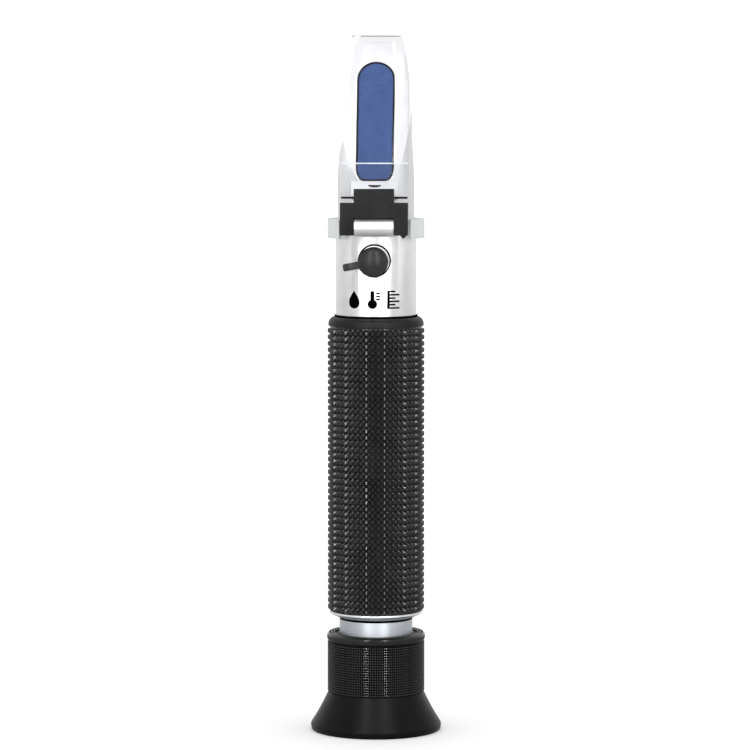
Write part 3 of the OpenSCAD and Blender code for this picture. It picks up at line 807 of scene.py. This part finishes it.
def make_bracket():
    """Black hinge bracket: a bar with a tongue, a thin black ledge above that stands in for the dark line
    under the plate's end as painted shade, and two legs below.
    """
    front, back = BRACKET_LOW[1], BRACKET_HIGH[1]
    half = BRACKET_HIGH[0]
    bar_low = PIN_Z + 2.9
    bar_high = bar_low + 4.1
    tongue_high = BRACKET_HIGH[2]
    tongue = 5.7
    leg_in = LUG_W / 2 + 0.15
    leg_low = PIN_Z - 2.2
    leg_back = -12.1
    bracket = block("bracket", (-half, front, bar_low), (half, back, bar_high), BLACK_PLASTIC)
    upper = block("tongue", (-tongue, front, bar_high - 1), (tongue, TAIL_OUTER, tongue_high))
    combine(bracket, upper, "UNION")
    for side in (-1, 1):
        x = sorted((side * leg_in, side * half))
        combine(bracket, block("leg", (x[0], front, leg_low), (x[1], leg_back, bar_low + 1)), "UNION")
    # Painted shade: the thin black ledge under the plate's end stands in for the dark line there.
    ledge_z = bar_high + 1.7
    ledge_half = half - 0.2
    ledge = block("ledge", (-ledge_half, -13.4, ledge_z - 0.55), (ledge_half, -11.7, ledge_z + 0.05))
    combine(bracket, ledge, "UNION")
    slot = block("slot", (-TAB_HALF, TAIL_OUTER, bar_low + 1.4), (TAB_HALF, TAIL_INNER, bar_high + 1))
    combine(bracket, slot, "DIFFERENCE")
    nib_outline = [
        (half - 2.3, leg_low + 0.2), (half - 1.3, leg_low - 0.9), (half - 0.6, leg_low - 0.4),
        (half - 0.3, leg_low + 0.2),
    ]
    nib = extrude("nib", nib_outline, "y", front + 0.05, front + 1, None)
    combine(bracket, nib, "UNION")
    r, reach = 0.85, 12
    bore = [(0, -reach, 0), (r, -reach, 0), (r, reach, 0), (0, reach, 0)]
    pin_hole = lathe("pin_cut", bore, None, count=48)
    turn(pin_hole, Matrix.Translation((0, PIN_Y * MM, PIN_Z * MM)) @ Matrix.Rotation(math.pi / 2, 4, "Y"))
    combine(bracket, pin_hole, "DIFFERENCE")
    round_edges(bracket, 0.2, 3, 40)
    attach(bracket, "cover")
    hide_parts("hinge_bracket")


# ---------------------------------------------------------------- calibration cap and bush

def make_cap():
    """Domed rubber cap with its plug and its drooping pull tail, which has a groove across."""
    base = CAP_BASE_Y
    r = CAP_R
    side = 1.0
    dome = 1.8
    dome_r = (r * r + dome * dome) / (2 * dome)
    plug = 2.55
    outline = [(0, 0, 0), (r, 0, 0.15), (r, side, 0)]
    steps = 12
    for k in range(1, steps):
        a = math.asin(r / dome_r) * (1 - k / steps)
        outline.append((dome_r * math.sin(a), side + dome - dome_r + dome_r * math.cos(a), 0))
    outline.append((0, side + dome, 0))
    cap = lathe("rubber_cap", outline, CAP_RUBBER, count=96)
    along_y(cap, base, CAL_Z)
    tail_end, tail_root, tail_half = -8.7, -2.7, 1.05
    tail_outline = fillet([
        (tail_end, -tail_half, 0.5), (tail_root, -tail_half, 0), (tail_root, tail_half, 0),
        (tail_end, tail_half, 0.5),
    ])
    tail = extrude("tail", tail_outline, "y", base - 1.5, base - 0.2, None)
    combine(tail, block("groove", (-7.4, base - 2.2, -2), (-7.0, base - 1.25, 2)), "DIFFERENCE")
    droop = math.radians(-11)
    turn(tail, Matrix.Translation((0, 0, CAL_Z * MM)) @ Matrix.Rotation(droop, 4, "Y"))
    combine(cap, tail, "UNION")
    turn(cap, Matrix.Translation((-CAP_SHIFT * MM, 0, -CAP_SHIFT * MM)))
    stem = lathe("stem", [(0, -1.5, 0), (plug, -1.5, 0.25), (plug, 0.5, 0), (0, 0.5, 0)], None, count=64)
    along_y(stem, base, CAL_Z)
    combine(cap, stem, "UNION")
    round_edges(cap, 0.2, 3, 40)
    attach(cap, "calibration_cap")
    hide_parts("calibration_cap")


def make_bush():
    """Bush that the cap plugs into, with a bright rim; round it a thin dead-black ring is painted shade for
    the gap round the bush.
    """
    r = BUSH_HIGH[0]
    face, inner = BUSH_LOW[1], BUSH_HIGH[1]
    depth = inner - face
    # width of the dead-black ring of painted shade round the bush
    seal = 0.45
    rim_r = r - seal
    plug_r, head_r = 2.6, 2.05
    shoulder, seat = -depth + 1.55, -depth + 0.55
    outline = [
        (SCREW_HOLE_R, -depth, 0), (rim_r, -depth, 0), (rim_r, -0.06, 0.06), (rim_r - 0.3, -0.06, 0.06),
        (rim_r - 0.36, -0.3, 0.05), (plug_r, -0.3, 0.1), (plug_r, shoulder, 0), (head_r, shoulder, 0.05),
        (head_r, seat, 0), (SCREW_HOLE_R, seat, 0),
    ]
    bush = lathe("cap_bush", outline, METAL, count=96)
    along_y(bush, face, CAL_Z)
    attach(bush, "housing")
    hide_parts("calibration_bush")
    # Painted shade: the thin dead-black ring round the bush stands in for the shadow gap there.
    seal_outline = [(rim_r, -depth, 0), (r, -depth, 0), (r, 0, 0.06), (rim_r, 0, 0.06)]
    rim = lathe("bush_shade_ring", seal_outline, INK_AND_PAINTED_SHADE, count=96)
    along_y(rim, face, CAL_Z)
    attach(rim, "housing")


# ---------------------------------------------------------------- generic mark on the neck

def print_patch(name, low, high, left, right, rows=14, columns=8):
    """A thin raised patch of black fill on the neck between two edges given as functions of height."""
    top, under = TUBE_R + 0.025, TUBE_R - 0.04
    verts = []
    for layer in (top, under):
        for j in range(rows + 1):
            z = low + (high - low) * j / rows
            for i in range(columns + 1):
                x = left(z) + (right(z) - left(z)) * i / columns
                a = x / TUBE_R
                verts.append((layer * math.sin(a), -layer * math.cos(a), z))
    wide = columns + 1
    layer_size = wide * (rows + 1)
    faces = []
    for j in range(rows):
        for i in range(columns):
            a = j * wide + i
            corners = (a, a + 1, a + wide + 1, a + wide)
            faces.append(corners)
            faces.append((corners[0] + layer_size,) + tuple(c + layer_size for c in corners[:0:-1]))
    rim = [i for i in range(wide)] + [j * wide + columns for j in range(1, rows + 1)]
    rim += [rows * wide + i for i in range(columns - 1, -1, -1)] + [j * wide for j in range(rows - 1, 0, -1)]
    for k, a in enumerate(rim):
        b = rim[(k + 1) % len(rim)]
        faces.append((a, a + layer_size, b + layer_size, b))
    piece = make(name, verts, faces, INK_AND_PAINTED_SHADE)
    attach(piece, "housing")


def bar(name, x0, x1, z0, z1):
    """A straight bar of the mark."""
    print_patch(name, z0, z1, lambda z: x0, lambda z: x1, 2, 4)


def make_mark():
    """Generic pictograms in place of lettering: a drop, a thermometer and a graduated scale."""
    low = COLLAR_LOW[2] - 19.9
    high = low + 5.2
    drop_x, bulb_x = -6.2, -0.6
    least = 0.01

    def drop_half(z):
        t = (z - low) / (high - low)
        half, belly = 1.75, 0.34
        if t < belly:
            return half * math.sqrt(max(0.0, 1 - ((belly - t) / belly) ** 2)) + least
        return half * math.cos((t - belly) / (1 - belly) * math.pi / 2) ** 1.15 + least

    def bulb_half(z):
        r, stem_r = 1.35, 0.55
        d = z - low - r
        circle = math.sqrt(max(0.0, r * r - d * d))
        stem = stem_r if d > 0 else 0.0
        end = high - stem_r
        if z > end:
            stem = math.sqrt(max(0.0, stem_r ** 2 - (z - end) ** 2))
        return max(circle, stem) + least

    def pictogram(name, x, half, rows):
        print_patch(name, low, high, lambda z: x - half(z), lambda z: x + half(z), rows, 8)

    pictogram("mark_drop", drop_x, drop_half, 26)
    pictogram("mark_thermometer", bulb_x, bulb_half, 36)
    for k in range(3):
        z = high - 0.75 - 0.85 * k
        bar(f"mark_degree_{k + 1}", 0.5, 1.6, z - MARK_STROKE, z + MARK_STROKE)
    bar("mark_scale_spine", 3.7, 4.45, low, high)
    ticks = 6
    for k in range(ticks):
        z = low + MARK_STROKE + (high - low - 2 * MARK_STROKE) * k / (ticks - 1)
        end = 7.6 if k % 2 == 0 else 6.2
        bar(f"mark_scale_{k + 1}", 4.4, end, z - MARK_STROKE, z + MARK_STROKE)


# ---------------------------------------------------------------- CAD nodes that keep their shape

KEPT = {
    "main_tube": METAL,
    "head_screws": STEEL, "hinge_pin": STEEL, "plate_pins": STEEL, "focus_key_pin": STEEL,
    "calibration_screw": BRASS, "bimetal_strip": BRASS,
    "lens_carriage": INNER_METAL, "prism_clamp": INNER_METAL, "objective_ring": INNER_METAL,
    "guide_ring_upper": INNER_METAL, "guide_ring_lower": INNER_METAL, "reticle_ring": INNER_METAL,
    "lens_spacer": INNER_METAL, "lens_ring": INNER_METAL,
    "prism_pad": BLACK_PLASTIC, "lens_mount": BLACK_PLASTIC, "baffle_upper": BLACK_PLASTIC,
    "baffle_lower": BLACK_PLASTIC, "reticle_holder": BLACK_PLASTIC, "lens_cell": BLACK_PLASTIC,
    "cell_ring": BLACK_PLASTIC,
    "objective_crown": LENS, "objective_flint": LENS, "reticle": LENS, "eye_lens": LENS, "field_lens": LENS,
}


def paint_kept_nodes():
    """Gives each CAD node that stays its procedural material."""
    for name, material in KEPT.items():
        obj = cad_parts[name]
        obj.data.materials.clear()
        obj.data.materials.append(material)


# ---------------------------------------------------------------- stage, light and camera

def make_floor():
    """Plain pale round floor."""
    mat = shader("floor", (0.95, 0.95, 0.95), 0.7, specular=0.1)[0]
    radius, sides = 450, 96
    turns = [2 * math.pi * k / sides for k in range(sides)]
    rim = [(radius * math.cos(a), radius * math.sin(a), 0) for a in turns]
    floor = make("floor", rim, [tuple(range(sides))], mat)
    floor.visible_glossy = False


def softbox(name, azimuth, width, power):
    """Tall softbox that lights through reflections only; azimuth 0 is in front, positive to the right."""
    distance, height, tall = 1.3, 0.75, 2.2
    aim = Vector((0, 0, 0.1))
    data = bpy.data.lights.new(name, "AREA")
    data.shape = "RECTANGLE"
    data.size, data.size_y = width, tall
    data.energy = power
    lamp = bpy.data.objects.new(name, data)
    a = math.radians(azimuth)
    lamp.location = (distance * math.sin(a), -distance * math.cos(a), height)
    lamp.rotation_euler = (aim - lamp.location).to_track_quat("-Z", "Y").to_euler()
    lamp.visible_diffuse = False
    bpy.context.scene.collection.objects.link(lamp)


def ramp(tree, value, stops):
    """Grey ramp over a 0 to 1 value."""
    node = tree.nodes.new("ShaderNodeValToRGB")
    elements = node.color_ramp.elements
    while len(elements) < len(stops):
        elements.new(0.5)
    for element, (position, level) in zip(elements, stops):
        element.position = position
        element.color = (level, level, level, 1.0)
    tree.links.new(value, node.inputs["Fac"])
    return node.outputs["Color"]


def make_world():
    """White room for what is seen and softly lit; reflections see grey sides, floor and ceiling."""
    world = bpy.data.worlds.new("room")
    bpy.context.scene.world = world
    world.use_nodes = True
    tree = world.node_tree
    white = tree.nodes["Background"]
    white.inputs["Color"].default_value = (1.0, 1.0, 1.0, 1.0)
    white.inputs["Strength"].default_value = 1.25
    coords = tree.nodes.new("ShaderNodeTexCoord")
    split = tree.nodes.new("ShaderNodeSeparateXYZ")
    tree.links.new(coords.outputs["Generated"], split.inputs["Vector"])
    across = spread(tree, split.outputs["Y"], 0.0, 1.0, (-1.0, 1.0))
    upward = spread(tree, split.outputs["Z"], 0.0, 1.0, (-1.0, 1.0))
    front_to_back = [(0.0, 0.95), (0.22, 0.92), (0.42, 0.72), (0.6, 0.72), (0.8, 0.95), (1.0, 1.0)]
    low_to_high = [(0.0, 0.45), (0.4, 0.65), (0.5, 0.97), (0.7, 1.0), (0.86, 0.97), (0.97, 0.4)]
    walls = ramp(tree, across, front_to_back)
    heights = ramp(tree, upward, low_to_high)
    product = tree.nodes.new("ShaderNodeMix")
    product.data_type = "RGBA"
    product.blend_type = "MULTIPLY"
    product.inputs[0].default_value = 1.0
    tree.links.new(walls, product.inputs[6])
    tree.links.new(heights, product.inputs[7])
    seen = tree.nodes.new("ShaderNodeBackground")
    tree.links.new(product.outputs[2], seen.inputs["Color"])
    path = tree.nodes.new("ShaderNodeLightPath")
    direct = tree.nodes.new("ShaderNodeMath")
    direct.operation = "MAXIMUM"
    tree.links.new(path.outputs["Is Camera Ray"], direct.inputs[0])
    tree.links.new(path.outputs["Is Diffuse Ray"], direct.inputs[1])
    mix = tree.nodes.new("ShaderNodeMixShader")
    tree.links.new(direct.outputs[0], mix.inputs["Fac"])
    tree.links.new(seen.outputs[0], mix.inputs[1])
    tree.links.new(white.outputs[0], mix.inputs[2])
    tree.links.new(mix.outputs[0], tree.nodes["World Output"].inputs["Surface"])


def make_lights():
    """Two upright softboxes either side of the camera and two weaker ones at the object's sides."""
    softbox("left_box", -21, 0.07, 14.0)
    softbox("right_box", 25, 0.10, 15.0)
    softbox("left_strip", -84, 0.06, 0.9)
    softbox("right_strip", 77, 0.06, 1.4)


def make_camera():
    """Long lens, slightly above the object and a touch to its right."""
    azimuth = math.radians(2.3)
    down = math.radians(4.84)
    pan = math.radians(0.016)
    distance, height = 1.07, 0.194
    data = bpy.data.cameras.new("camera")
    data.sensor_width = 36.0
    data.lens = 178.1
    data.clip_end = 50.0
    camera = bpy.data.objects.new("camera", data)
    camera.location = (distance * math.sin(azimuth), -distance * math.cos(azimuth), height)
    camera.rotation_euler = (math.pi / 2 - down, 0, azimuth + pan)
    bpy.context.scene.collection.objects.link(camera)
    bpy.context.scene.camera = camera


make_camera()
make_world()
make_lights()
make_floor()
make_grip()
make_eyecup()
make_eyepiece_ring()
make_barrel()
make_end_ring()
make_head()
make_prism()
make_gasket()
make_shade_crescent()
make_collar()
make_plate()
make_bracket()
make_cap()
make_bush()
make_mark()
paint_kept_nodes()
bpy.context.scene.view_settings.view_transform = "Standard"
